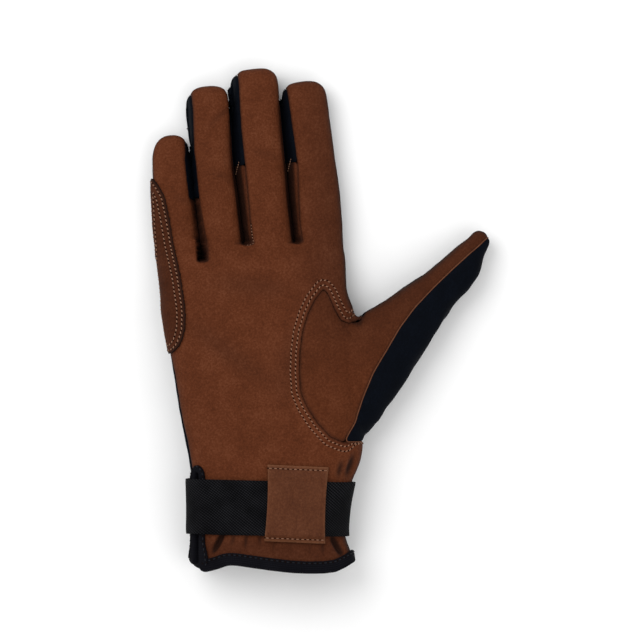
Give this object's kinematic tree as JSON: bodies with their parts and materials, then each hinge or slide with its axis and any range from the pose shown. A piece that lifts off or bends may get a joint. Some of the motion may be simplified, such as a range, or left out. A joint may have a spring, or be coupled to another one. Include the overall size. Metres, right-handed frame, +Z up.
{
  "type": "horse riding glove",
  "caption": "Right-hand riding glove with leather palm and thumb, cloth back, elastic at the wrist under a leather keeper, side patch and bound cuff with a vent.",
  "frame": {"origin": "on the surface that the back of the hand rests on, under the middle of the palm", "axes": "+X towards the thumb, +Y from the cuff towards the fingertips, +Z up out of the palm"},
  "size_m": [0.1653, 0.245, 0.036],
  "materials": {
    "palm_leather": "brown nubuck-like leather, fine grain, matt",
    "patch_leather": "darker brown leather, matt",
    "stretch_fabric": "dark navy stretch softshell",
    "elastic": "black woven elastic with a slanting rib",
    "binding_tape": "near-black folded tape, edge stitched"
  },
  "bodies": {
    "root": {"palm_leather": "palm_leather", "thumb_leather": "palm_leather", "elastic_tab": "palm_leather", "gusset_little_ring": "palm_leather", "gusset_ring_middle": "palm_leather", "gusset_middle_index": "palm_leather", "side_patch": "patch_leather", "back_fabric": "stretch_fabric", "thumb_fabric": "stretch_fabric", "wrist_elastic": "elastic", "cuff_binding": "binding_tape", "little_inner_strip": "stretch_fabric", "ring_outer_strip": "stretch_fabric", "ring_inner_strip": "stretch_fabric", "middle_outer_strip": "stretch_fabric", "middle_inner_strip": "stretch_fabric", "index_outer_strip": "stretch_fabric"}
  },
  "joints": []
}
